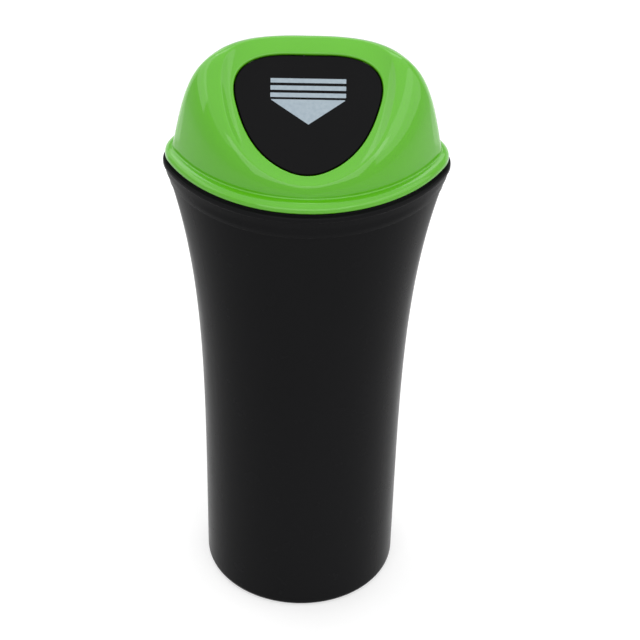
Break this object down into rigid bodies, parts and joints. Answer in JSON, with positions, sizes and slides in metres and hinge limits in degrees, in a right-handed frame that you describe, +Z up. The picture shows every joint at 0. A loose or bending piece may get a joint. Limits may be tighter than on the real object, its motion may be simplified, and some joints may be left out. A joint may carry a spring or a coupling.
{
  "type": "car trash bin",
  "caption": "Tall plastic bin for a car: round foot, flared oval mouth, and a lift-off dome lid with a sprung push flap in its sloping front.",
  "frame": {"origin": "centre of the foot's underside, on the surface that the bin stands on", "axes": "+Z up, the sloping front with the flap faces -Y, +X is the long way of the oval mouth"},
  "size_m": [0.09, 0.0652, 0.1989],
  "materials": {
    "cup_black": "satin moulded polypropylene, black",
    "lid_green": "glossy moulded polypropylene, apple green",
    "flap_black": "satin moulded polypropylene, black",
    "pin_steel": "drawn steel rod",
    "spring_steel": "spring wire"
  },
  "bodies": {
    "bin": {"bin_body": "cup_black"},
    "lid": {"lid_shell": "lid_green", "hinge_pin": "pin_steel", "return_spring": "spring_steel"},
    "flap": {"push_flap": "flap_black"}
  },
  "joints": [
    {"name": "lid_lift", "type": "slide", "parent": "bin", "child": "lid", "axis": [0, 0, 1], "range_m": [0, 0.06]},
    {"name": "flap_hinge", "type": "hinge", "parent": "lid", "child": "flap", "pos_m": [0, 0.00517, 0.18885], "axis": [1, 0, 0], "range_deg": [0, 60], "stiffness_Nm_per_rad": 0.004, "springref_deg": -17.19, "deforming": ["return_spring"]}
  ]
}
